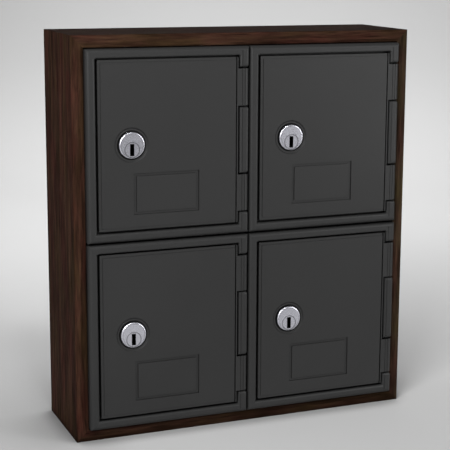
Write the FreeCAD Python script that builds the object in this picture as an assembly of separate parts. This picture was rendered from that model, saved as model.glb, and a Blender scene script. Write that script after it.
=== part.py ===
import FreeCAD, Part
import math
import os

os.makedirs("parts", exist_ok=True)

# Overall sizes, mm.  X right, Y into the cabinet, Z up, origin under the middle of the base.
WIDTH = 321.2
HEIGHT = 359.2
WOOD_DEPTH = 91.5
SIDE_T = 10.6          # side board thickness
BOTTOM_T = 10.6        # bottom board thickness
TOP_T = 10.6           # top board thickness
BACK_T = 6.0           # back panel thickness
EDGE_BREAK = 0.4       # chamfer on the boards' outer edges
FRAME_PROUD = 6.5      # door frames stand this far in front of the boards
LOCK_PROUD = 1.5       # lock faces stand this far in front of the doors

COLUMNS = ("left", "right")
ROWS = ("lower", "upper")
MOD_W = (WIDTH - 2 * SIDE_T) / 2
MOD_H = (HEIGHT - BOTTOM_T - TOP_T) / 2
WOOD_FRONT = -(WOOD_DEPTH + FRAME_PROUD + LOCK_PROUD) / 2 + FRAME_PROUD + LOCK_PROUD

# Module frame (local axes: x from the module's left edge, y from the boards' front, z from its foot)
CLEAR = 0.3            # gap beside and below each frame
CLEAR_TOP = 0.9        # gap above it
FRONT = -FRAME_PROUD
RING_BACK = 5.0        # rear face of the solid ring
SKIRT_BACK = 14.0      # rear edge of the skirt inside the cabinet
SKIRT_T = 2.5
CORNER_R = 1.6         # corners of the frame's outline
OUTER_R = (3.4, 2.7, 3.4, 3.4)          # rounding of the outer front edges: left, right, bottom, top
INNER_R = 2.7          # rounding of the front edges around the door
INNER_TOP_R = 1.3      # the same above the door
STILE_LINE = (142.9, 0.8, 0.3)          # x, width and depth of the moulded line beside the hinge
POCKET = (9.1, 140.2, 8.7, 160.2)       # x0, x1, z0, z1 of the recess that takes the door
LIP = 3.5              # door stop behind the door
LIP_FRONT = 0.3

# Door
DOOR_GAPS = (1.4, 1.3, 1.9, 1.4)        # left, right, bottom, top
DOOR_T = 3.5
DOOR_BACK = 0.0
DOOR_WALL = 2.2
DOOR = (POCKET[0] + DOOR_GAPS[0], POCKET[1] - DOOR_GAPS[1],
        POCKET[2] + DOOR_GAPS[2], POCKET[3] - DOOR_GAPS[3])
DOOR_CORNER_R = 1.0
DOOR_EDGE = 0.3        # chamfer along the door's outline
GROOVE_X = 137.3       # groove between the door's panel and its knuckles
GROOVE_W = 1.1
GROOVE_D = 1.6
BORDER_W = 2.6         # lowered border around the door's panel
BORDER_D = 0.5
LABEL = (42.0, 102.1, 24.0, 60.4)       # x0, x1, z0, z1 of the moulded label frame
LABEL_RIM = 2.6        # width of the channel around the label pad
LABEL_D = 0.9          # depth of that channel
PAD_D = 0.1            # depth of the pad's face

# Hinge
HINGE_X = 146.0
HINGE_Y = -2.8
BARREL_R = 3.7
PIN_R = 1.5
RUN = 0.05             # running clearance on radius
KNUCKLE_LINES = (20.7, 54.3, 115.3, 148.9)
KNUCKLE_GAP = 0.8
KNUCKLE_BEAD = (142.8, 145.4, 0.6, 0.3)  # x of the two lines beside the bead, their width and depth
CHANNEL_BACK = 2.6
PIN_Z = (6.0, 163.0)
PIN_END = 0.1          # gap at each end of the pin

# Lock
LOCK_X = 40.25
LOCK_Z = 85.2
PLUG_Z = LOCK_Z - 4.0
FACE_R = 11.7
FACE_EDGE_R = 1.3
FACE_RING = (9.9, 10.15, 0.15)          # inner radius, outer radius, depth of the turned line
LOCK_R = 9.6
SEAT_R = 12.8
SEAT_D = 2.0
DISH_R = 15.4
DISH_FLOOR_R = 14.3
DISH_D = 0.7
BARREL_BACK = 10.0
HEAD_R = 6.7
HEAD_GAP = 0.2         # gap around the plug's head
SHANK_R = 5.2
HEAD_DEPTH = 0.1       # the plug's face lies this far behind the lock's
HEAD_SEAT = 0.7        # depth of the head's seat behind the door's face
SEAT_RUN = 0.1         # gap behind the head
PLUG_OUT = 0.2         # the plug stands out of the cylinder's rear end
KEY_MOUTH = (3.8, 10.5)                  # width and height of the slot in the plug's head
KEYWAY_W = 3.0         # of the slot behind it
KEYWAY_H = 9.0
KEYWAY_BACK = 3.0
WEB = 1.0              # metal between the keyway and the screw's thread
TONGUE_W = 12.0
TONGUE_T = 2.0
TONGUE_REACH = 33.3
TONGUE_TIP_Y = 6.4
TONGUE_CRANK = 17.0    # distance from the plug's axis to the crank
TONGUE_TIP_R = 3.0
CAM_SCREW_R = 2.0
CAM_SCREW_AF = 7.0
CAM_SCREW_HEAD = 2.6
CAM_SCREW_GAP = 0.5    # between the screw's tip and the end of its thread
LOCK_NUT_AF = 24.0
LOCK_NUT_T = 3.6
STRIKE_T = 1.0
STRIKE_H = 20.0
STRIKE_GAP = 0.2       # between the strike plate and the compartment
STRIKE_EDGE = 0.3

# Compartment liner
LINER_T = 2.0
LINER_OUT = CLEAR + SKIRT_T
LINER_BACK = WOOD_DEPTH - BACK_T
BOSS_R = 4.0
BOSS_LEN = 8.0
BOSS_END = 2.0         # solid end of each boss
BOSSES = ((20.0, 20.0), (130.0, 20.0), (20.0, 149.0), (130.0, 149.0))
WALL_HOLE_R = 3.0

# Coin unit on the inside of the door
CASE = (56.0, 110.0, 62.0, 132.0)
CASE_BACK = 15.0
CASE_T = 2.0
POST_R = 3.2
POST_IN = 4.0
CASE_CORNER_R = 2.5
CASE_EDGE_R = 1.0
MOUTH = (69.0, 97.0, 67.0, 91.0)
CUP_T = 2.0
CUP_FRONT = 0.0
COIN_SLOT = (81.6, 84.4, 101.0, 121.0)
PLATE = (64.0, 102.0, 63.5, 127.0)
PLATE_T = 1.2
PLATE_CORNER_R = 2.0
BEZEL_GAP = 0.2        # gap around the return cup in the case
CHUTE = (4.0, 8.0)     # y0, y1 of the hole that drops coins into the cup
RIVET_R = 1.2
RIVET_T = 0.5
RIVET_IN = 3.5         # distance from the plate's sides
FLAP_Y = 13.8
FLAP_Z = 89.6
FLAP_T = 1.2
FLAP_PIN_R = 0.8
FLAP_GAP = 0.6         # gap at each end of the flap
FLAP_PIN_OUT = 1.8     # how far the pin stands out at each end
FLAP_PIN_END = 0.3     # gap at each end of the pin
FLAP_EDGE = 1.0        # the flap's margin above its pin and below at the cup's floor

# Screws
SCREW_R = 1.5
SCREW_HOLE_R = 1.6
SCREW_HEAD_R = 3.0
SCREW_HEAD_T = 1.6
SLOT_L = 4.4           # driver slot
SLOT_W = 0.8
SLOT_DEPTH = 0.8
SCREW_BITE = 2.0       # depth of the coin case's screw holes in the door
SCREW_TIP = 0.2        # gap at the end of those holes
FIX_GRIP = 6.0         # the fixing screws' depth in the boards
NUT_AF = 5.5
NUT_T = 2.2
BOLT_TAIL = 3.0
SINK_T = 2.0           # height of a countersunk head
BACK_SLOT_L = 3.6
BACK_SLOT_W = 0.7
BACK_SCREW_GAP = 1.0   # between the back panel screws' tips and the ends of their holes
FIX_Y = 10.0
FIX_Z = (40.0, 129.0)
FIX_X = (40.0, 110.0)

OVER = 1.0             # cutters run this far past what they cut

X_AXIS = FreeCAD.Vector(1, 0, 0)
Y_AXIS = FreeCAD.Vector(0, 1, 0)
Z_AXIS = FreeCAD.Vector(0, 0, 1)


def box(x0, x1, y0, y1, z0, z1):
    return Part.makeBox(x1 - x0, y1 - y0, z1 - z0, FreeCAD.Vector(x0, y0, z0))


def slab(rect, y0, y1, grow=0.0):
    """Box over an (x0, x1, z0, z1) rectangle."""
    x0, x1, z0, z1 = rect
    return box(x0 - grow, x1 + grow, y0, y1, z0 - grow, z1 + grow)


def rod(radius, start, end):
    a = FreeCAD.Vector(*start)
    along = FreeCAD.Vector(*end) - a
    return Part.makeCylinder(radius, along.Length, a, along)


def rod_y(radius, x, z, y0, y1):
    return rod(radius, (x, y0, z), (x, y1, z))


def hexagon(across_flats, start, end):
    a = FreeCAD.Vector(*start)
    along = FreeCAD.Vector(*end) - a
    side = Z_AXIS if abs(along.z) < 0.5 * along.Length else X_AXIS
    points = []
    for i in range(7):
        turn = FreeCAD.Rotation(along, 60.0 * i)
        points.append(a + turn.multVec(side * (across_flats / math.sqrt(3))))
    return Part.Face(Part.makePolygon(points)).extrude(along)


def fuse(shapes):
    return shapes[0].multiFuse(shapes[1:]).removeSplitter()


def cut(shape, tools):
    return shape.cut(Part.makeCompound(tools))


def edges_where(shape, test):
    return [e for e in shape.Edges if all(test(v.Point) for v in e.Vertexes) and e.Length > 0.05]


def edges_along_y(shape):
    found = []
    for e in shape.Edges:
        a = e.Vertexes[0].Point
        b = e.Vertexes[-1].Point
        if abs(a.y - b.y) > 0.1 and abs(a.x - b.x) + abs(a.z - b.z) < 1e-6:
            found.append(e)
    return found


def front_edges(shape, y):
    return edges_where(shape, lambda p: abs(p.y - y) < 1e-6)


def in_module(shape, column, row):
    moved = shape.copy()
    moved.translate(FreeCAD.Vector(-MOD_W + column * MOD_W, WOOD_FRONT, BOTTOM_T + row * MOD_H))
    return moved


def knuckle_spans():
    """Door knuckles: (z0, z1) of each."""
    lines = KNUCKLE_LINES
    half = KNUCKLE_GAP / 2
    return ((lines[0] + half, lines[1] - half), (lines[2] + half, lines[3] - half))


def side_holes(radius):
    """Holes for the fixing screws, the same in all four walls."""
    reach = SKIRT_T + LINER_T + OVER
    holes = []
    for z in FIX_Z:
        holes.append(rod(radius, (-OVER, FIX_Y, z), (reach, FIX_Y, z)))
        holes.append(rod(radius, (MOD_W - reach, FIX_Y, z), (MOD_W + OVER, FIX_Y, z)))
    for x in FIX_X:
        holes.append(rod(radius, (x, FIX_Y, -OVER), (x, FIX_Y, reach)))
        holes.append(rod(radius, (x, FIX_Y, MOD_H - reach), (x, FIX_Y, MOD_H + OVER)))
    return holes


def outline_edges(block, outline):
    """The block's front edges on its left, right, bottom and top sides."""
    x0, x1, z0, z1 = outline
    middle = FreeCAD.Vector((x0 + x1) / 2, FRONT, (z0 + z1) / 2)
    sides = [FreeCAD.Vector(x, FRONT, middle.z) for x in (x0, x1)]
    sides += [FreeCAD.Vector(middle.x, FRONT, z) for z in (z0, z1)]
    edges = front_edges(block, FRONT)
    return [min(edges, key=lambda e: e.CenterOfMass.distanceToPoint(side)) for side in sides]


def make_frame():
    outline = (CLEAR, MOD_W - CLEAR, CLEAR, MOD_H - CLEAR_TOP)
    block = slab(outline, FRONT, SKIRT_BACK)
    body = block.makeFillet(CORNER_R, edges_along_y(block))
    for radius, edge in zip(OUTER_R, outline_edges(block, outline)):
        body = body.common(block.makeFillet(radius, [edge]))
    slots = [box(DOOR[1], MOD_W, FRONT - OVER, CHANNEL_BACK, z0 - KNUCKLE_GAP, z1 + KNUCKLE_GAP)
             for z0, z1 in knuckle_spans()]
    body = cut(body, [slab(POCKET, FRONT - OVER, LIP_FRONT)] + slots)
    inside = max(OUTER_R) + CLEAR + 0.5
    rim = [e for e in front_edges(body, FRONT) if e.BoundBox.XMin > inside
           and e.BoundBox.ZMin > inside and e.BoundBox.ZMax < MOD_H - inside
           and e.BoundBox.XMin < POCKET[1] + 0.01]
    top = [e for e in rim if e.BoundBox.ZMin > POCKET[3] - 0.01]
    rest = [e for e in rim if e.BoundBox.ZMin < POCKET[3] - 0.01]
    body = body.makeFillet(INNER_R, rest).common(body.makeFillet(INNER_TOP_R, top))
    x, width, depth = STILE_LINE
    cuts = [slab(POCKET, FRONT - OVER, RING_BACK + OVER, -LIP)]
    low = max(OUTER_R) + CLEAR
    high = MOD_H - CLEAR_TOP - max(OUTER_R)
    cuts.append(box(x - width / 2, x + width / 2, FRONT - OVER, FRONT + depth, low, high))
    cuts.append(box(LINER_OUT, MOD_W - LINER_OUT, RING_BACK, SKIRT_BACK + OVER,
                    LINER_OUT, MOD_H - LINER_OUT))
    cuts.append(rod(PIN_R + RUN, (HINGE_X, HINGE_Y, PIN_Z[0]), (HINGE_X, HINGE_Y, PIN_Z[1])))
    return cut(body, cuts + side_holes(SCREW_HOLE_R))


def make_liner():
    outer = box(LINER_OUT, MOD_W - LINER_OUT, RING_BACK, LINER_BACK, LINER_OUT, MOD_H - LINER_OUT)
    inset = LINER_OUT + LINER_T
    inner = box(inset, MOD_W - inset, RING_BACK - OVER, LINER_BACK - LINER_T, inset, MOD_H - inset)
    floor = LINER_BACK - LINER_T
    bosses = [rod_y(BOSS_R, x, z, floor - BOSS_LEN, floor) for x, z in BOSSES]
    shell = fuse([outer.cut(inner)] + bosses)
    cuts = [rod_y(SCREW_R, x, z, floor - BOSS_LEN + BOSS_END, LINER_BACK + OVER) for x, z in BOSSES]
    cuts.append(rod_y(WALL_HOLE_R, MOD_W / 2, MOD_H / 2, floor - OVER, LINER_BACK + OVER))
    return cut(shell, cuts + side_holes(SCREW_HOLE_R))


def make_door():
    plate = slab(DOOR, FRONT, DOOR_BACK)
    plate = plate.makeFillet(DOOR_CORNER_R, edges_along_y(plate))
    plate = plate.cut(door_border())
    edges = [e for e in front_edges(plate, FRONT + BORDER_D) if is_door_outline(e)]
    plate = plate.makeChamfer(DOOR_EDGE, edges)
    plate = plate.cut(slab(DOOR, FRONT + DOOR_T, DOOR_BACK + OVER, -DOOR_WALL))
    knuckles = []
    for z0, z1 in knuckle_spans():
        knuckles.append(rod(BARREL_R, (HINGE_X, HINGE_Y, z0), (HINGE_X, HINGE_Y, z1)))
        knuckles.append(box(GROOVE_X, HINGE_X, FRONT, HINGE_Y, z0, z1))
    body = fuse([plate] + knuckles)
    return cut(body, door_cuts())


def door_border():
    """What is taken off to lower the border along the door's left, top and bottom edges."""
    x0, x1, z0, z1 = DOOR
    panel = (x0 + BORDER_W, GROOVE_X, z0 + BORDER_W, z1 - BORDER_W)
    sheet = box(x0 - OVER, GROOVE_X, FRONT - OVER, FRONT + BORDER_D, z0 - OVER, z1 + OVER)
    return sheet.cut(slab(panel, FRONT - 2 * OVER, FRONT + 2 * OVER))


def is_door_outline(edge):
    x0, x1, z0, z1 = DOOR
    reach = DOOR_CORNER_R + 0.01
    points = [v.Point for v in edge.Vertexes]
    return all(p.x < x0 + reach or p.z < z0 + reach or p.z > z1 - reach for p in points)


def door_cuts():
    x0, x1, z0, z1 = DOOR
    groove = (GROOVE_X - GROOVE_W / 2, GROOVE_X + GROOVE_W / 2)
    cuts = [box(*groove, FRONT - OVER, FRONT + GROOVE_D, z0 - OVER, z1 + OVER)]
    left, right, width, depth = KNUCKLE_BEAD
    for x in (left, right):
        cuts.append(box(x - width / 2, x + width / 2, FRONT - OVER, FRONT + depth, z0, z1))
    for k0, k1 in knuckle_spans():
        cuts.append(rod(PIN_R + RUN, (HINGE_X, HINGE_Y, k0 - OVER), (HINGE_X, HINGE_Y, k1 + OVER)))
    cuts.append(rod_y(LOCK_R + RUN, LOCK_X, LOCK_Z, FRONT - OVER, DOOR_BACK))
    cuts.append(rod_y(SEAT_R, LOCK_X, LOCK_Z, FRONT - OVER, FRONT + SEAT_D))
    rim = FreeCAD.Vector(LOCK_X, FRONT, LOCK_Z)
    cuts.append(Part.makeCone(DISH_R, DISH_FLOOR_R, DISH_D, rim, Y_AXIS))
    cuts.append(slab(LABEL, FRONT - OVER, FRONT + PAD_D))
    pad = slab(LABEL, FRONT - OVER, FRONT + OVER, -LABEL_RIM)
    cuts.append(slab(LABEL, FRONT, FRONT + LABEL_D).cut(pad))
    for x, z in case_corners():
        cuts.append(rod_y(SCREW_R, x, z, FRONT + DOOR_T - SCREW_BITE, DOOR_BACK))
    return cuts


def make_lock_cylinder():
    face_back = FRONT + SEAT_D
    front = FRONT - LOCK_PROUD
    face = rod_y(FACE_R, LOCK_X, LOCK_Z, front, face_back)
    face = face.makeFillet(FACE_EDGE_R, front_edges(face, front))
    barrel = rod_y(LOCK_R, LOCK_X, LOCK_Z, FRONT, BARREL_BACK)
    bore = rod_y(SHANK_R + RUN, LOCK_X, PLUG_Z, FRONT - LOCK_PROUD - OVER, BARREL_BACK + OVER)
    seat = rod_y(HEAD_R + HEAD_GAP, LOCK_X, PLUG_Z, FRONT - LOCK_PROUD - OVER, FRONT + HEAD_SEAT)
    inner, outer, depth = FACE_RING
    line = rod_y(outer, LOCK_X, LOCK_Z, front, front + depth)
    line = line.cut(rod_y(inner, LOCK_X, LOCK_Z, front, front + depth))
    return cut(fuse([face, barrel]), [bore, seat, line])


def make_lock_nut():
    y0 = FRONT + DOOR_T
    nut = hexagon(LOCK_NUT_AF, (LOCK_X, y0, LOCK_Z), (LOCK_X, y0 + LOCK_NUT_T, LOCK_Z))
    return nut.cut(rod_y(LOCK_R + RUN, LOCK_X, LOCK_Z, y0 - OVER, y0 + LOCK_NUT_T + OVER))


def make_lock_plug():
    head = rod_y(HEAD_R, LOCK_X, PLUG_Z, FRONT - LOCK_PROUD + HEAD_DEPTH, FRONT + HEAD_SEAT - SEAT_RUN)
    shank = rod_y(SHANK_R, LOCK_X, PLUG_Z, FRONT, BARREL_BACK + PLUG_OUT)
    mouth = keyway(*KEY_MOUTH, FRONT)
    thread = rod_y(CAM_SCREW_R + RUN, LOCK_X, PLUG_Z, KEYWAY_BACK + WEB, BARREL_BACK + OVER)
    return cut(fuse([head, shank]), [mouth, keyway(KEYWAY_W, KEYWAY_H, KEYWAY_BACK), thread])


def keyway(width, height, back):
    """Upright slot into the plug, from its face to that depth."""
    return slab((LOCK_X - width / 2, LOCK_X + width / 2, PLUG_Z - height / 2, PLUG_Z + height / 2),
                FRONT - LOCK_PROUD - OVER, back)


def make_tongue():
    """Cranked latch tongue, pointing down when unlocked."""
    y0 = BARREL_BACK + PLUG_OUT
    y1 = y0 + TONGUE_T
    x0 = LOCK_X - TONGUE_W / 2
    x1 = LOCK_X + TONGUE_W / 2
    crank = PLUG_Z - TONGUE_CRANK
    tip = PLUG_Z - TONGUE_REACH
    hub = rod_y(TONGUE_W / 2, LOCK_X, PLUG_Z, y0, y1)
    arm = box(x0, x1, y0, y1, crank, PLUG_Z)
    step = box(x0, x1, TONGUE_TIP_Y, y1, crank, crank + TONGUE_T)
    end = box(x0, x1, TONGUE_TIP_Y, TONGUE_TIP_Y + TONGUE_T, tip, crank + TONGUE_T)
    end = end.makeFillet(TONGUE_TIP_R, [e for e in edges_along_y(end) if e.Vertexes[0].Z < tip + 0.1])
    return fuse([hub, arm, step, end]).cut(rod_y(CAM_SCREW_R + RUN, LOCK_X, PLUG_Z, y0 - OVER, y1 + OVER))


def make_tongue_screw():
    y0 = BARREL_BACK + PLUG_OUT + TONGUE_T
    head = hexagon(CAM_SCREW_AF, (LOCK_X, y0, PLUG_Z), (LOCK_X, y0 + CAM_SCREW_HEAD, PLUG_Z))
    return fuse([head, rod_y(CAM_SCREW_R, LOCK_X, PLUG_Z, KEYWAY_BACK + WEB + CAM_SCREW_GAP, y0)])


def case_corners():
    x0, x1, z0, z1 = CASE
    return [(x, z) for x in (x0 + POST_IN, x1 - POST_IN) for z in (z0 + POST_IN, z1 - POST_IN)]


def make_coin_case():
    y0 = FRONT + DOOR_T
    shell = slab(CASE, y0, CASE_BACK)
    shell = shell.makeFillet(CASE_CORNER_R, edges_along_y(shell))
    shell = shell.makeFillet(CASE_EDGE_R, front_edges(shell, CASE_BACK))
    shell = shell.cut(slab(CASE, y0 - OVER, CASE_BACK - CASE_T, -CASE_T))
    posts = [rod_y(POST_R, x, z, y0, CASE_BACK - OVER) for x, z in case_corners()]
    cuts = [slab(MOUTH, CASE_BACK - CASE_T - OVER, CASE_BACK + OVER, CUP_T + BEZEL_GAP)]
    cuts.append(slab(COIN_SLOT, CASE_BACK - CASE_T - OVER, CASE_BACK + OVER))
    for x, z in case_corners():
        cuts.append(rod_y(SCREW_HOLE_R, x, z, y0 - OVER, CASE_BACK + OVER))
    return cut(fuse([shell] + posts), cuts)


def make_coin_bezel():
    """Cover plate with the coin slot, in one piece with the return cup behind it."""
    plate = slab(PLATE, CASE_BACK, CASE_BACK + PLATE_T)
    plate = plate.makeFillet(PLATE_CORNER_R, edges_along_y(plate))
    cup = slab(MOUTH, CUP_FRONT - CUP_T, CASE_BACK, CUP_T)
    x0, x1, z0, z1 = MOUTH
    rivets = []
    for x in (PLATE[0] + RIVET_IN, PLATE[1] - RIVET_IN):
        rivets.append(rod_y(RIVET_R, x, COIN_SLOT[3], CASE_BACK, CASE_BACK + PLATE_T + RIVET_T))
    cuts = [slab(MOUTH, CUP_FRONT, CASE_BACK + PLATE_T + OVER)]
    cuts.append(slab(COIN_SLOT, CASE_BACK - OVER, CASE_BACK + PLATE_T + OVER))
    cuts.append(box(x0, x1, CHUTE[0], CHUTE[1], z1 - OVER, z1 + CUP_T + OVER))
    pin_out = FLAP_PIN_OUT - FLAP_GAP + FLAP_PIN_END
    cuts.append(rod(FLAP_PIN_R + RUN, (x0 - pin_out, FLAP_Y, FLAP_Z), (x1 + pin_out, FLAP_Y, FLAP_Z)))
    return cut(fuse([plate, cup] + rivets), cuts)


def make_flap():
    x0 = MOUTH[0] + FLAP_GAP
    x1 = MOUTH[1] - FLAP_GAP
    leaf = box(x0, x1, FLAP_Y - FLAP_T / 2, FLAP_Y + FLAP_T / 2, MOUTH[2] + FLAP_EDGE, FLAP_Z + FLAP_EDGE)
    pin = rod(FLAP_PIN_R, (x0 - FLAP_PIN_OUT, FLAP_Y, FLAP_Z), (x1 + FLAP_PIN_OUT, FLAP_Y, FLAP_Z))
    return fuse([leaf, pin])


def make_case_screws():
    screws = []
    for x, z in case_corners():
        head = rod_y(SCREW_HEAD_R, x, z, CASE_BACK, CASE_BACK + SCREW_HEAD_T)
        shank = rod_y(SCREW_R, x, z, FRONT + DOOR_T - SCREW_BITE + SCREW_TIP, CASE_BACK)
        top = CASE_BACK + SCREW_HEAD_T
        mouth = (x - SLOT_L / 2, x + SLOT_L / 2, z - SLOT_W / 2, z + SLOT_W / 2)
        slot = slab(mouth, top - SLOT_DEPTH, top + OVER)
        screws.append(fuse([head, shank]).cut(slot))
    return Part.makeCompound(screws)


def hinge_pin():
    return rod(PIN_R, (HINGE_X, HINGE_Y, PIN_Z[0] + PIN_END), (HINGE_X, HINGE_Y, PIN_Z[1] - PIN_END))


def strike_plate():
    x0 = LINER_OUT + LINER_T + STRIKE_GAP
    x1 = POCKET[0] + LIP
    plate = box(x0, x1, RING_BACK, RING_BACK + STRIKE_T, PLUG_Z - STRIKE_H / 2, PLUG_Z + STRIKE_H / 2)
    return plate.makeChamfer(STRIKE_EDGE, front_edges(plate, RING_BACK + STRIKE_T))


def pan_screw(start, end):
    """Pan head at start, shank towards end."""
    a = FreeCAD.Vector(*start)
    along = FreeCAD.Vector(*end) - a
    head = Part.makeCylinder(SCREW_HEAD_R, SCREW_HEAD_T, a - along.normalize() * SCREW_HEAD_T, along)
    return fuse([head, rod(SCREW_R, start, end)])


def fixing_screws(column, row):
    """Screws from inside one module into the boards around it."""
    inset = LINER_OUT + LINER_T
    x_in, x_out = (inset, -FIX_GRIP) if column == 0 else (MOD_W - inset, MOD_W + FIX_GRIP)
    z_in, z_out = (inset, -FIX_GRIP) if row == 0 else (MOD_H - inset, MOD_H + FIX_GRIP)
    screws = [pan_screw((x_in, FIX_Y, z), (x_out, FIX_Y, z)) for z in FIX_Z]
    screws += [pan_screw((x, FIX_Y, z_in), (x, FIX_Y, z_out)) for x in FIX_X]
    return screws


def joining_bolt(start, end):
    """Bolt and nut that clamp two neighbouring frames and liners."""
    a = FreeCAD.Vector(*start)
    b = FreeCAD.Vector(*end)
    along = (b - a).normalize()
    tail = b + along * BOLT_TAIL
    head = Part.makeCylinder(SCREW_HEAD_R, SCREW_HEAD_T, a - along * SCREW_HEAD_T, along)
    nut = hexagon(NUT_AF, end, tuple(b + along * NUT_T))
    return fuse([head, rod(SCREW_R, start, tuple(tail)), nut])


def joining_bolts():
    inset = LINER_OUT + LINER_T
    bolts = []
    for row in range(len(ROWS)):
        for z in FIX_Z:
            bolt = joining_bolt((MOD_W - inset, FIX_Y, z), (MOD_W + inset, FIX_Y, z))
            bolts.append(in_module(bolt, 0, row))
    for column in range(len(COLUMNS)):
        for x in FIX_X:
            bolt = joining_bolt((x, FIX_Y, MOD_H - inset), (x, FIX_Y, MOD_H + inset))
            bolts.append(in_module(bolt, column, 0))
    return bolts


def back_screw(x, z):
    tip = LINER_BACK - LINER_T - BOSS_LEN + BOSS_END + BACK_SCREW_GAP
    neck = WOOD_DEPTH - SINK_T
    head = Part.makeCone(SCREW_R, SCREW_HEAD_R, SINK_T, FreeCAD.Vector(x, neck, z), Y_AXIS)
    return fuse([head, rod_y(SCREW_R, x, z, tip, neck)])


def screw_slot(x, z):
    mouth = (x - BACK_SLOT_L / 2, x + BACK_SLOT_L / 2, z - BACK_SLOT_W / 2, z + BACK_SLOT_W / 2)
    return slab(mouth, WOOD_DEPTH - SLOT_DEPTH, WOOD_DEPTH + OVER)


def board(points, y0, y1):
    """Board with the given x, z outline, in cabinet coordinates."""
    ring = [FreeCAD.Vector(x, y0, z) for x, z in points]
    return Part.Face(Part.makePolygon(ring + ring[:1])).extrude(FreeCAD.Vector(0, y1 - y0, 0))


def make_boards():
    """Four mitred boards and the back panel."""
    y0 = WOOD_FRONT
    y1 = WOOD_FRONT + WOOD_DEPTH
    xo = WIDTH / 2
    xi = xo - SIDE_T
    zi = HEIGHT - TOP_T
    left = board([(-xo, 0), (-xi, BOTTOM_T), (-xi, zi), (-xo, HEIGHT)], y0, y1)
    right = board([(xo, 0), (xo, HEIGHT), (xi, zi), (xi, BOTTOM_T)], y0, y1)
    bottom = board([(-xo, 0), (xo, 0), (xi, BOTTOM_T), (-xi, BOTTOM_T)], y0, y1)
    top = board([(-xo, HEIGHT), (-xi, zi), (xi, zi), (xo, HEIGHT)], y0, y1)
    back = box(-xi, xi, y1 - BACK_T, y1, BOTTOM_T, zi)
    boards = {"left_side_panel": left, "right_side_panel": right,
              "bottom_panel": bottom, "top_panel": top}
    outside = {"left_side_panel": lambda p: p.x < -xo + 0.01,
               "right_side_panel": lambda p: p.x > xo - 0.01,
               "bottom_panel": lambda p: p.z < 0.01,
               "top_panel": lambda p: p.z > HEIGHT - 0.01}
    for name, shape in boards.items():
        edges = [e for e in edges_where(shape, outside[name])
                 if abs(e.Vertexes[0].Y - e.Vertexes[-1].Y) < 0.01]
        boards[name] = shape.makeChamfer(EDGE_BREAK, edges)
    boards["back_panel"] = back
    return boards


def export(name, shape):
    shape.exportStep("parts/" + name + ".step")


MODULE_NODES = {
    "frame": make_frame(),
    "compartment": make_liner(),
    "door": make_door(),
    "lock_cylinder": make_lock_cylinder(),
    "lock_nut": make_lock_nut(),
    "lock_plug": make_lock_plug(),
    "lock_tongue": make_tongue(),
    "tongue_screw": make_tongue_screw(),
    "coin_case": make_coin_case(),
    "coin_bezel": make_coin_bezel(),
    "return_flap": make_flap(),
    "case_screws": make_case_screws(),
}

pins = []
strikes = []
board_screws = []
back_screws = []
screw_slots = []
wall_holes = []
for column, column_name in enumerate(COLUMNS):
    for row, row_name in enumerate(ROWS):
        for node, shape in MODULE_NODES.items():
            export(row_name + "_" + column_name + "_" + node, in_module(shape, column, row))
        pins.append(in_module(hinge_pin(), column, row))
        strikes.append(in_module(strike_plate(), column, row))
        board_screws += [in_module(s, column, row) for s in fixing_screws(column, row)]
        back_screws += [in_module(back_screw(x, z), column, row) for x, z in BOSSES]
        screw_slots += [in_module(screw_slot(x, z), column, row) for x, z in BOSSES]
        through = rod_y(WALL_HOLE_R, MOD_W / 2, MOD_H / 2, LINER_BACK - OVER, WOOD_DEPTH + OVER)
        wall_holes.append(in_module(through, column, row))

boards = make_boards()
boards["back_panel"] = cut(boards["back_panel"], wall_holes + back_screws)
for name in ("left_side_panel", "right_side_panel", "bottom_panel", "top_panel"):
    boards[name] = cut(boards[name], board_screws)
for name, shape in boards.items():
    export(name, shape)

export("hinge_pins", Part.makeCompound(pins))
export("strike_plates", Part.makeCompound(strikes))
export("fixing_screws", Part.makeCompound(board_screws))
export("joining_bolts", Part.makeCompound(joining_bolts()))
export("back_panel_screws", cut(Part.makeCompound(back_screws), screw_slots))
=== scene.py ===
import math

import bpy
from mathutils import Matrix, Vector


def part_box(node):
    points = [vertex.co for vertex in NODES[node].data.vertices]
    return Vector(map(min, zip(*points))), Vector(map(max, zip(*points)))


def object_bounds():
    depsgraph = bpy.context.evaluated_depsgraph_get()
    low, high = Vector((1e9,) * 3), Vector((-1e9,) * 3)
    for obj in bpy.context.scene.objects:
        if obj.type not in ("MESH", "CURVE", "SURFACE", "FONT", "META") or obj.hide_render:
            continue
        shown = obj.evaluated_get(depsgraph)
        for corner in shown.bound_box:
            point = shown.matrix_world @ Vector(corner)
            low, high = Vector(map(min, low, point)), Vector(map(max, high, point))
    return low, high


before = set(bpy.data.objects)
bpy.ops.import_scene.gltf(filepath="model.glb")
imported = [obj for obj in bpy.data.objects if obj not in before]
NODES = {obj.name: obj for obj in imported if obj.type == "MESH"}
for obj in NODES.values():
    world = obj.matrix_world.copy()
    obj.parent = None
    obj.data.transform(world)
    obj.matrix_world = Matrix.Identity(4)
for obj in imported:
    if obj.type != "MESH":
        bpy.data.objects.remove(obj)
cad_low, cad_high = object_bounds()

MM = 0.001
MODULES = ("upper_left", "upper_right", "lower_left", "lower_right")


def grey(value):
    return (value, value, value)


# ---------------------------------------------------------------- camera

CAMERA_AT = Vector((-451.9, -1132.5, 431.2)) * MM
CAMERA_YAW = math.radians(22.884)
CAMERA_PITCH = math.radians(-10.755)
CAMERA_ROLL = math.radians(0.488)
CAMERA_SHIFT = (-0.0667, -0.0513)
SENSOR = 36.0
LENS = 106.4
CLIP = (0.05, 20.0)


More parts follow.
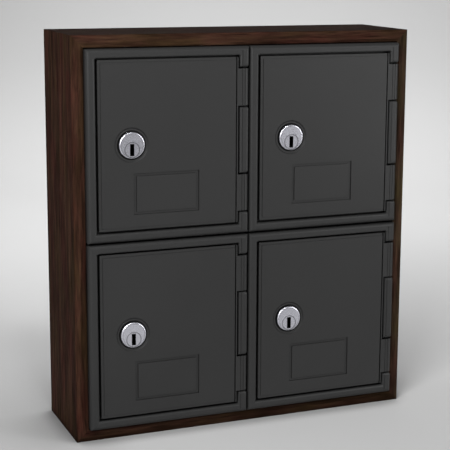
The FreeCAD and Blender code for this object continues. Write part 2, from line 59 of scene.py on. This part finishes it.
def make_camera():
    data = bpy.data.cameras.new("camera")
    data.sensor_width = SENSOR
    data.lens = LENS
    data.shift_x, data.shift_y = CAMERA_SHIFT
    data.clip_start, data.clip_end = CLIP
    camera = bpy.data.objects.new("camera", data)
    bpy.context.scene.collection.objects.link(camera)
    ahead = Vector((math.sin(CAMERA_YAW), math.cos(CAMERA_YAW), 0.0))
    flat = Vector((ahead.y, -ahead.x, 0.0))
    forward = ahead * math.cos(CAMERA_PITCH) + Vector((0.0, 0.0, math.sin(CAMERA_PITCH)))
    rise = flat.cross(forward)
    right = flat * math.cos(CAMERA_ROLL) + rise * math.sin(CAMERA_ROLL)
    up = rise * math.cos(CAMERA_ROLL) - flat * math.sin(CAMERA_ROLL)
    turn = Matrix((right, up, -forward)).transposed().to_4x4()
    camera.matrix_world = Matrix.Translation(CAMERA_AT) @ turn
    bpy.context.scene.camera = camera
    bpy.context.scene.view_settings.view_transform = "Standard"


# ---------------------------------------------------------------- node helpers

SOCKETS = {"metallic": "Metallic", "roughness": "Roughness", "specular": "Specular IOR Level"}
MIX_FACTOR, MIX_A, MIX_B, MIX_RESULT = 0, 6, 7, 2   # a Mix node's sockets for colours
OCCLUSION_SAMPLES = 12
FACES_UP = (0.6, 0.9)       # Z of the normal, from sloping to facing up
NOISE_SPAN = (0.3, 0.7)     # where nearly all of a noise's values lie


class Nodes:
    """Short calls for building one material's node tree."""

    def __init__(self, name):
        self.material = bpy.data.materials.new(name)
        self.material.use_nodes = True
        self.tree = self.material.node_tree
        self.shader = self.tree.nodes["Principled BSDF"]

    def set(self, **values):
        for key, value in values.items():
            self.shader.inputs[SOCKETS[key]].default_value = value

    def link(self, source, target):
        self.tree.links.new(source, target)

    def coords(self, scale=(1, 1, 1), shift=(0, 0, 0)):
        texture = self.tree.nodes.new("ShaderNodeTexCoord")
        mapping = self.tree.nodes.new("ShaderNodeMapping")
        mapping.inputs["Scale"].default_value = scale
        mapping.inputs["Location"].default_value = shift
        self.link(texture.outputs["Object"], mapping.inputs["Vector"])
        return mapping.outputs["Vector"]

    def split(self, vector):
        node = self.tree.nodes.new("ShaderNodeSeparateXYZ")
        self.link(vector, node.inputs["Vector"])
        return node.outputs

    def noise(self, vector, scale, detail=4.0, roughness=0.5, distortion=0.0):
        node = self.tree.nodes.new("ShaderNodeTexNoise")
        node.inputs["Scale"].default_value = scale
        node.inputs["Detail"].default_value = detail
        node.inputs["Roughness"].default_value = roughness
        node.inputs["Distortion"].default_value = distortion
        self.link(vector, node.inputs["Vector"])
        return node.outputs["Fac"]

    def voronoi(self, vector, scale):
        node = self.tree.nodes.new("ShaderNodeTexVoronoi")
        node.inputs["Scale"].default_value = scale
        self.link(vector, node.inputs["Vector"])
        return node.outputs["Distance"]

    def ramp(self, factor, stops):
        node = self.tree.nodes.new("ShaderNodeValToRGB")
        elements = node.color_ramp.elements
        while len(elements) < len(stops):
            elements.new(0.5)
        for element, (place, colour) in zip(elements, stops):
            element.position = place
            element.color = (*colour, 1.0)
        self.link(factor, node.inputs["Fac"])
        return node.outputs["Color"]

    def spread(self, factor, low, high, start=0.0, end=1.0):
        """Goes from low to high while the factor goes from start to end."""
        node = self.tree.nodes.new("ShaderNodeMapRange")
        node.inputs["From Min"].default_value = start
        node.inputs["From Max"].default_value = end
        node.inputs["To Min"].default_value = low
        node.inputs["To Max"].default_value = high
        self.link(factor, node.inputs["Value"])
        return node.outputs["Result"]

    def math(self, operation, a, b=0.0):
        node = self.tree.nodes.new("ShaderNodeMath")
        node.operation = operation
        for socket, value in zip(node.inputs, (a, b)):
            if isinstance(value, (int, float)):
                socket.default_value = value
            else:
                self.link(value, socket)
        return node.outputs[0]

    def times(self, colour, shade, share=1.0):
        """The colour multiplied by a second one, less so when share is under one."""
        node = self.tree.nodes.new("ShaderNodeMix")
        node.data_type = "RGBA"
        node.blend_type = "MULTIPLY"
        node.inputs[MIX_FACTOR].default_value = share
        self.link(colour, node.inputs[MIX_A])
        self.link(shade, node.inputs[MIX_B])
        return node.outputs[MIX_RESULT]

    def darkened(self, colour, value):
        """The colour multiplied by a plain value."""
        node = self.tree.nodes.new("ShaderNodeCombineColor")
        for socket in node.inputs[:3]:
            self.link(value, socket)
        return self.times(colour, node.outputs["Color"])

    def tinted(self, colour, value, tone):
        """The colour multiplied by a plain value and by a constant tone."""
        return self.times(colour, self.ramp(value, ((0.0, grey(0.0)), (1.0, tone))))

    def painted_shade(self, reach, low, start=0.25, end=0.85):
        """Painted shade: falls to low in corners and gaps that other surfaces close in within reach."""
        node = self.tree.nodes.new("ShaderNodeAmbientOcclusion")
        node.samples = OCCLUSION_SAMPLES
        node.inputs["Distance"].default_value = reach
        return self.spread(node.outputs["AO"], low, 1.0, start, end)

    def top_face_shade(self, low):
        """Painted shade: falls to low where the surface faces up."""
        place = self.tree.nodes.new("ShaderNodeNewGeometry")
        return self.spread(self.split(place.outputs["Normal"])["Z"], 1.0, low, *FACES_UP)

    def from_axis(self, centre, reach):
        """Distance from the line through centre along Y, as a share of reach."""
        share = 1.0 / reach
        to_centre = (-centre.x * share, 0.0, -centre.z * share)
        length = self.tree.nodes.new("ShaderNodeVectorMath")
        length.operation = "LENGTH"
        self.link(self.coords(scale=(share, 0.0, share), shift=to_centre), length.inputs[0])
        return length.outputs["Value"]

    def bump(self, height, strength, distance):
        node = self.tree.nodes.new("ShaderNodeBump")
        node.inputs["Strength"].default_value = strength
        node.inputs["Distance"].default_value = distance
        self.link(height, node.inputs["Height"])
        return node.outputs["Normal"]

    def finish(self, colour, roughness=None, normal=None):
        links = {"Base Color": colour, "Roughness": roughness, "Normal": normal}
        for socket, source in links.items():
            if source is not None:
                self.link(source, self.shader.inputs[socket])
        return self.material


# ---------------------------------------------------------------- wood

GRAIN_STRETCH = 0.07
PATCH_STRETCH = 0.25
PATCH_SHIFT = (0.3, 0.2, 0.1)
BROAD_SCALE, FINE_SCALE, PORE_SCALE, PATCH_SCALE = 170, 560, 1700, 70
HEART_TONES = ((0.30, (0.0128, 0.0060, 0.0038)), (0.44, (0.0226, 0.0108, 0.0070)),
               (0.56, (0.0340, 0.0164, 0.0106)), (0.70, (0.0490, 0.0248, 0.0156)))
STREAK_TONES = ((0.36, (0.48, 0.46, 0.44)), (0.50, (0.95, 0.94, 0.93)), (0.64, (1.26, 1.24, 1.16)))
PORE_TONES = ((0.30, (0.42, 0.40, 0.38)), (0.42, grey(1.0)))
PATCH_TONES = ((0.36, (0.96, 1.10, 0.88)), (0.50, grey(1.0)), (0.64, (1.16, 0.92, 1.02)))
STREAK_SHARE = 0.80
PORE_SHARE = 0.5
# reach and tones of the painted shade in the wood's corners
WOOD_PAINTED_SHADE = (0.008, 0.45, 0.50, 0.92)
WOOD_TOP_SHADE = 0.62
WOOD_ROUGHNESS = (0.75, 0.55)
WOOD_SPECULAR = 0.008
FINE_HEIGHT, PORE_HEIGHT = 0.7, 0.6
WOOD_BUMP = (0.35, 0.0004)


def walnut(name, along, tone=grey(1.0)):
    """Dark oiled walnut with its grain along the given axis, 0 for X or 2 for Z, with painted shade on its
    top faces and in its corners.
    """
    n = Nodes(name)
    stretch = [1.0, 1.0, 1.0]
    stretch[along] = GRAIN_STRETCH
    grain = n.coords(scale=stretch)
    broad = n.noise(grain, BROAD_SCALE, detail=4, roughness=0.6, distortion=0.35)
    fine = n.noise(grain, FINE_SCALE, detail=4, roughness=0.65)
    pores = n.noise(grain, PORE_SCALE, detail=2, roughness=0.5)
    stretch[along] = PATCH_STRETCH
    patch = n.noise(n.coords(scale=stretch, shift=PATCH_SHIFT), PATCH_SCALE)
    colour = n.times(n.ramp(broad, HEART_TONES), n.ramp(fine, STREAK_TONES), STREAK_SHARE)
    colour = n.times(colour, n.ramp(pores, PORE_TONES), PORE_SHARE)
    colour = n.times(colour, n.ramp(patch, PATCH_TONES))
    # painted shade in the wood's corners and along the frames
    colour = n.darkened(colour, n.painted_shade(*WOOD_PAINTED_SHADE))
    # painted shade darkens the top faces; the tone is multiplied over the whole board
    colour = n.tinted(colour, n.top_face_shade(WOOD_TOP_SHADE), tone)
    roughness = n.spread(fine, *WOOD_ROUGHNESS, *NOISE_SPAN)
    height = n.math("ADD", n.math("MULTIPLY", fine, FINE_HEIGHT), n.math("MULTIPLY", pores, PORE_HEIGHT))
    n.set(specular=WOOD_SPECULAR)
    return n.finish(colour, roughness, n.bump(height, *WOOD_BUMP))


# ---------------------------------------------------------------- moulded plastic

CHARCOAL = grey(0.0185)
LINER_BLACK = (0.018, 0.018, 0.019)
CELL_SCALE, SPECK_SCALE, CLOUD_SCALE = 1500, 2600, 9
CLOUD_SHARE = 0.10
CLOUD_GLOSS = 0.05
DUST_TONES = ((0.30, grey(0.90)), (0.70, grey(1.06)))
DUST_SHARE = 0.7
MOULDED_PAINTED_SHADE = (0.004, 0.12)
MOULDED_SPECULAR = 0.25
SPECK_HEIGHT = 0.6
MOULDED_BUMP = (0.30, 0.00012)
COLLAR_REACH = 0.020
# tones of the painted shade rings about a lock
COLLAR_PAINTED_SHADE = ((0.0, grey(0.05)), (0.640, grey(0.05)), (0.655, grey(1.0)), (0.700, grey(1.0)),
                (0.725, grey(0.50)), (0.765, grey(0.50)), (0.790, grey(1.0)))
RING_ROUGHNESS = 0.4


def moulded(name, base, gloss=0.40, collar=None):
    """Moulded plastic with a fine spark-eroded grain.

    A door has rings of painted shade about its collar, the middle of its lock, which are also duller.
    """
    n = Nodes(name)
    place = n.coords()
    cells = n.voronoi(place, CELL_SCALE)
    speck = n.noise(place, SPECK_SCALE, detail=3, roughness=0.6)
    cloud = n.noise(place, CLOUD_SCALE, detail=3)
    dark = tuple(c * (1.0 - CLOUD_SHARE) for c in base)
    light = tuple(c * (1.0 + CLOUD_SHARE) for c in base)
    colour = n.ramp(cloud, tuple(zip(NOISE_SPAN, (dark, light))))
    colour = n.times(colour, n.ramp(speck, DUST_TONES), DUST_SHARE)
    # painted shade in the plastic's gaps, grooves and corners
    colour = n.darkened(colour, n.painted_shade(*MOULDED_PAINTED_SHADE))
    roughness = n.spread(cloud, gloss + CLOUD_GLOSS, gloss - CLOUD_GLOSS, *NOISE_SPAN)
    if collar is not None:
        # painted shade rings in the lock's seat gap and along the edge of its dish
        painted_rings = n.ramp(n.from_axis(collar, COLLAR_REACH), COLLAR_PAINTED_SHADE)
        colour = n.times(colour, painted_rings)
        roughness = n.math("ADD", roughness, n.spread(painted_rings, RING_ROUGHNESS, 0.0))
    height = n.math("ADD", cells, n.math("MULTIPLY", speck, SPECK_HEIGHT))
    n.set(specular=MOULDED_SPECULAR)
    return n.finish(colour, roughness, n.bump(height, *MOULDED_BUMP))


# ---------------------------------------------------------------- metal

CHROME = {"base": (0.62, 0.62, 0.68), "rough": 0.28, "scale": 2500, "bump": 0.01}
STEEL = {"base": (0.52, 0.52, 0.53), "rough": 0.32, "brush": (1, 1, 0.05), "scale": 1200, "bump": 0.15}
BLACK_STEEL = {"base": (0.035, 0.035, 0.036), "rough": 0.45}
ZINC = {"base": (0.58, 0.58, 0.55), "rough": 0.38}
HAZE_SCALE = 45
HAZE_DARK = 0.93
MARK_ROUGHNESS = (0.75, 1.3)
METAL_PAINTED_SHADE = (0.002, 0.04, 0.30, 0.80)
METAL_BUMP = 0.00005
SLOT_SHADE = (0.0001, 0.0003)   # depths at which the painted shadow in a key slot starts and ends turning black
SLOT_SHADOW_BLACK = 0.01
PLUG_RIM_SHADE = ((0.0, grey(1.0)), (0.300, grey(1.0)), (0.320, grey(0.45)), (0.340, grey(0.45)))


def metal(name, base, rough, brush=(1, 1, 1), scale=900, bump=0.08, plug=None):
    """Plated or polished metal with fine directional marks.

    A plug, its lowest and highest corners, has a painted shade ring at its rim and a painted black shadow
    inside its key slot.
    """
    n = Nodes(name)
    marks = n.noise(n.coords(scale=brush), scale, detail=4, roughness=0.65)
    haze = n.noise(n.coords(), HAZE_SCALE, detail=3)
    dark = tuple(c * HAZE_DARK for c in base)
    colour = n.ramp(haze, tuple(zip(NOISE_SPAN, (dark, base))))
    if plug is not None:
        low, high = plug
        start, end = (low.y + depth for depth in SLOT_SHADE)
        depth = n.split(n.coords())["Y"]
        # painted shadow: black inside the key slot
        colour = n.darkened(colour, n.spread(depth, 1.0, SLOT_SHADOW_BLACK, start, end))
        # painted shade ring along the plug's rim
        colour = n.times(colour, n.ramp(n.from_axis((low + high) / 2, COLLAR_REACH), PLUG_RIM_SHADE))
    # painted shade in the metal's gaps and corners
    colour = n.darkened(colour, n.painted_shade(*METAL_PAINTED_SHADE))
    roughness = n.spread(marks, *(rough * share for share in MARK_ROUGHNESS), *NOISE_SPAN)
    n.set(metallic=1.0)
    return n.finish(colour, roughness, n.bump(marks, bump, METAL_BUMP))


# ---------------------------------------------------------------- paper

PAPER_DEPTH = (-0.5, 3.0)
PAPER_RISE = 2.0            # how much further back a metre of height counts
PAPER_PAINTED_POOL = ((0.0, grey(0.48)), (0.13, grey(0.51)), (0.22, grey(0.68)), (0.33, grey(0.90)),
               (0.50, grey(0.85)), (0.72, grey(0.54)), (1.0, grey(0.36)))
PAPER_SIDE = 0.8
PAPER_PAINTED_FALLOFF = ((0.0, grey(1.0)), (1.0, grey(0.62)))
PAPER_CONTACT_SHADOW = (0.022, 0.60, 0.50, 0.90)
PAPER_WIDE_SHADOW = (0.16, 0.55, 0.50, 1.0)
PAPER_LEFT_SHADOW_SPAN = (-0.15, -0.08)
PAPER_SPECULAR = 0.1
PAPER_ROUGHNESS = 0.9


def studio_paper(name):
    """Pale floor paper with a painted pool of light behind the object, and painted light that falls off
    towards the sides.

    It has a painted contact shadow close around the object, and a painted shadow a little further out on
    the object's left.
    """
    n = Nodes(name)
    place = n.split(n.coords())
    depth = n.math("ADD", place["Y"], n.math("MULTIPLY", place["Z"], PAPER_RISE))
    # painted pool of light, brightest behind the object
    colour = n.ramp(n.spread(depth, 0.0, 1.0, *PAPER_DEPTH), PAPER_PAINTED_POOL)
    colour.node.color_ramp.interpolation = "B_SPLINE"
    away = n.math("POWER", n.math("ABSOLUTE", place["X"]), 2.0)
    # painted light falling off towards the sides
    colour = n.times(colour, n.ramp(n.spread(away, 0.0, 1.0, 0.0, PAPER_SIDE), PAPER_PAINTED_FALLOFF))
    # painted contact shadow around the object
    colour = n.darkened(colour, n.painted_shade(*PAPER_CONTACT_SHADOW))
    # painted shadow reaching further out on the object's left
    left = n.spread(place["X"], 1.0, 0.0, *PAPER_LEFT_SHADOW_SPAN)
    left_shadow = n.math("MULTIPLY", left, n.math("SUBTRACT", 1.0, n.painted_shade(*PAPER_WIDE_SHADOW)))
    n.set(specular=PAPER_SPECULAR, roughness=PAPER_ROUGHNESS)
    return n.finish(n.darkened(colour, n.math("SUBTRACT", 1.0, left_shadow)))


# ---------------------------------------------------------------- which piece has which material

RIGHT_TONE = (0.88, 1.14, 1.14)
# makes the bottom board darker than the other boards
FOOT_DARKENING = (0.76, 0.78, 0.78)
LINER_GLOSS = 0.55
NODE_MATERIALS = {
    "left_side_panel": "side_grain", "right_side_panel": "right_grain",
    "top_panel": "rail_grain", "bottom_panel": "foot_grain", "back_panel": "side_grain",
    "hinge_pins": "black_steel", "strike_plates": "zinc", "fixing_screws": "zinc",
    "joining_bolts": "zinc", "back_panel_screws": "zinc",
}
MODULE_MATERIALS = {
    "frame": "charcoal", "compartment": "liner",
    "lock_cylinder": "chrome", "lock_nut": "zinc",
    "lock_tongue": "zinc", "tongue_screw": "zinc", "coin_case": "liner",
    "coin_bezel": "steel", "return_flap": "steel", "case_screws": "zinc",
}


def make_materials():
    return {
        "side_grain": walnut("walnut_upright", 2),
        "right_grain": walnut("walnut_right", 2, RIGHT_TONE),
        "rail_grain": walnut("walnut_level", 0),
        "foot_grain": walnut("walnut_foot", 0, FOOT_DARKENING),
        "charcoal": moulded("charcoal_moulding", CHARCOAL),
        "liner": moulded("black_liner", LINER_BLACK, LINER_GLOSS),
        "chrome": metal("satin_chrome", **CHROME),
        "black_steel": metal("black_steel", **BLACK_STEEL),
        "steel": metal("satin_steel", **STEEL),
        "zinc": metal("zinc_plate", **ZINC),
    }


def dress(node, material):
    piece = NODES[node]
    piece.data.materials.clear()
    piece.data.materials.append(material)


def dress_nodes(materials):
    for node, material in NODE_MATERIALS.items():
        dress(node, materials[material])
    for module in MODULES:
        for node, material in MODULE_MATERIALS.items():
            dress(module + "_" + node, materials[material])
        low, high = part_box(module + "_lock_cylinder")
        collar = (Vector(low) + Vector(high)) / 2
        dress(module + "_door", moulded(module + "_door_moulding", CHARCOAL, collar=collar))
        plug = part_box(module + "_lock_plug")
        dress(module + "_lock_plug", metal(module + "_plug_chrome", plug=plug, **CHROME))


# ---------------------------------------------------------------- studio

COVE_HALF = 4.0
COVE_FRONT = -3.0
COVE_BEND = 1.1
COVE_RADIUS = 0.9
COVE_RISE = 3.5
COVE_STEPS = 16

CENTRE = (0, 0, 0.18)
LIGHTS = (  # name, azimuth in degrees, distance, height, size, watts
    ("key", -40, 1.05, 0.75, (0.5, 0.5), 13.5),
    ("high", -13, 0.8, 1.40, (0.24, 0.24), 5),
    ("left_strip", -28, 1.7, 0.25, (0.25, 1.3), 2),
    ("right_strip", 45, 1.5, 0.30, (0.35, 1.3), 11),
)
BACKDROP_AT = (157, 0.5, 1.9)
BACKDROP_AIM = (157, 2.1, 1.3)
BACKDROP_SIZE = (2.0, 0.6)
BACKDROP_WATTS = 40

WORLD_HORIZON = 0.80
WORLD_ZENITH = 0.10
WORLD_SPAN = 0.7            # height of the direction at which the zenith's tone is reached


def make_cove(material):
    """Pale floor that curves up into a backdrop behind the object."""
    line = [(COVE_FRONT, 0.0), (COVE_BEND, 0.0)]
    for i in range(1, COVE_STEPS + 1):
        turn = math.pi / 2 * i / COVE_STEPS
        line.append((COVE_BEND + COVE_RADIUS * math.sin(turn), COVE_RADIUS - COVE_RADIUS * math.cos(turn)))
    line.append((COVE_BEND + COVE_RADIUS, COVE_RISE))
    points = [(x, y, z) for y, z in line for x in (-COVE_HALF, COVE_HALF)]
    faces = [(i, i + 1, i + 3, i + 2) for i in range(0, len(points) - 2, 2)]
    mesh = bpy.data.meshes.new("floor")
    mesh.from_pydata(points, [], faces)
    mesh.polygons.foreach_set("use_smooth", [True] * len(faces))
    mesh.materials.append(material)
    cove = bpy.data.objects.new("floor", mesh)
    bpy.context.scene.collection.objects.link(cove)
    cove.matrix_world = Matrix.Rotation(-CAMERA_YAW, 4, "Z") @ Matrix.Translation((0, 0, cad_low.z))


def area_light(name, place, aim, size, watts):
    data = bpy.data.lights.new(name, "AREA")
    data.shape = "RECTANGLE"
    data.size, data.size_y = size
    data.energy = watts
    light = bpy.data.objects.new(name, data)
    bpy.context.scene.collection.objects.link(light)
    light.location = place
    light.rotation_euler = (Vector(aim) - Vector(place)).to_track_quat("-Z", "Y").to_euler()


def around(azimuth, distance, height):
    """A point on a circle about the object: azimuth 0 is straight out of the doors, 90 is to the right."""
    turn = math.radians(azimuth)
    return Vector((math.sin(turn) * distance, -math.cos(turn) * distance, height))


def make_lights():
    for name, azimuth, distance, height, size, watts in LIGHTS:
        area_light(name, around(azimuth, distance, height), CENTRE, size, watts)
    area_light("backdrop", around(*BACKDROP_AT), around(*BACKDROP_AIM), BACKDROP_SIZE, BACKDROP_WATTS)


def make_world():
    """Dim light from all around the room, brighter near the horizon than overhead."""
    world = bpy.data.worlds.new("studio")
    world.use_nodes = True
    tree = world.node_tree
    place = tree.nodes.new("ShaderNodeTexCoord")
    parts = tree.nodes.new("ShaderNodeSeparateXYZ")
    level = tree.nodes.new("ShaderNodeValToRGB")
    tree.links.new(place.outputs["Generated"], parts.inputs["Vector"])
    tree.links.new(parts.outputs["Z"], level.inputs["Fac"])
    horizon, zenith = level.color_ramp.elements
    horizon.color = (*grey(WORLD_HORIZON), 1.0)
    zenith.color = (*grey(WORLD_ZENITH), 1.0)
    zenith.position = WORLD_SPAN
    tree.links.new(level.outputs["Color"], tree.nodes["Background"].inputs["Color"])
    bpy.context.scene.world = world


make_camera()
make_world()
make_lights()
make_cove(studio_paper("pale_floor"))
dress_nodes(make_materials())
